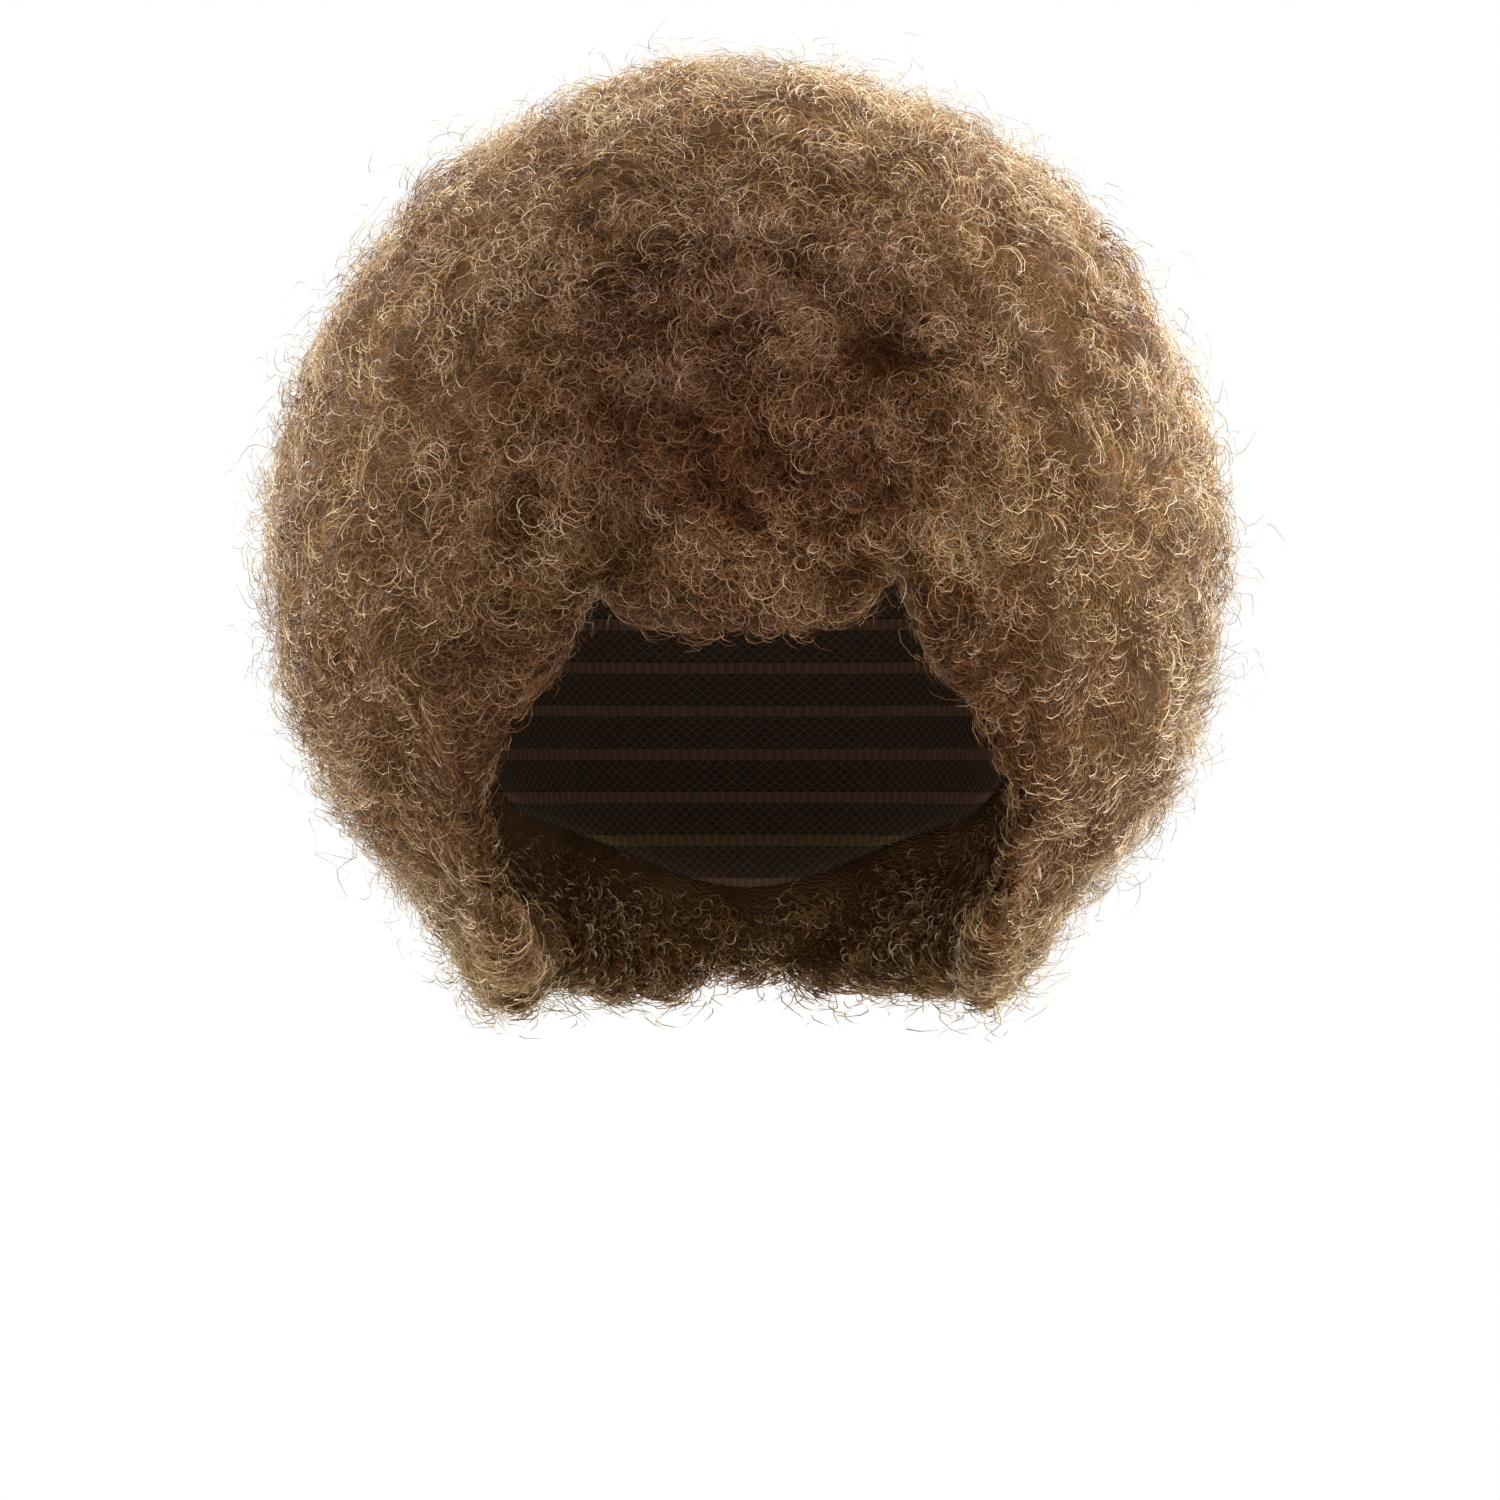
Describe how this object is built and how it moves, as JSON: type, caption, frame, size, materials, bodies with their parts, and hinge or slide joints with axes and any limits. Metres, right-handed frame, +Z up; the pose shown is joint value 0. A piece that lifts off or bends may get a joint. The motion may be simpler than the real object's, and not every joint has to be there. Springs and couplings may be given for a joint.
{
  "type": "afro wig",
  "caption": "Round afro wig of short frizzy curls in light golden brown, with a scalloped fringe, on a stretch-net cap that is open below and in front for the head.",
  "frame": {"origin": "inside top of the cap, where the crown of the head meets it", "axes": "+Z up, the wearer faces -Y, +X is the wearer's left"},
  "size_m": [0.2625, 0.2706, 0.2593],
  "materials": {
    "curled_hair": "frizzy fibre with a soft sheen, lighter at the rim and browner in the middle of the front",
    "cap_net": "matt stretch net with sewn weft rows"
  },
  "bodies": {
    "root": {"wig_cap": "cap_net", "crown_hair": "curled_hair", "fringe": "curled_hair", "side_hair_left": "curled_hair", "side_hair_right": "curled_hair", "back_hair": "curled_hair"}
  },
  "joints": []
}
